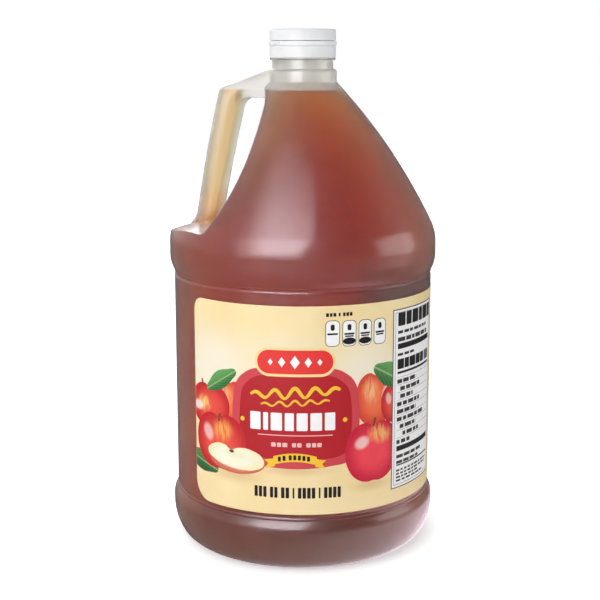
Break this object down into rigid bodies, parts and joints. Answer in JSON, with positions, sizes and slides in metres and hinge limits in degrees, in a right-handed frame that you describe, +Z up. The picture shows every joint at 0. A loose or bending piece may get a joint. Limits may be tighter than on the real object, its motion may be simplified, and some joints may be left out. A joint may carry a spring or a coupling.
{
  "type": "vinegar bottle",
  "caption": "Round-shouldered plastic jug with a hollow side grip, filled with cider vinegar, closed by a white cap and wrapped in a paper label.",
  "frame": {"origin": "middle of the base, on the plane that the foot ring stands on", "axes": "+Z up through the cap, grip towards -X, front of the label near -Y"},
  "size_m": [0.156, 0.1558, 0.2989],
  "materials": {
    "bottle": "translucent natural plastic, semi-gloss",
    "vinegar": "clear red-brown liquid",
    "closure": "smooth white",
    "label": "gloss-coated paper"
  },
  "bodies": {
    "root": {"bottle": "bottle", "vinegar": "vinegar", "cap": "closure", "tear_band": "closure", "label": "label"}
  },
  "joints": []
}
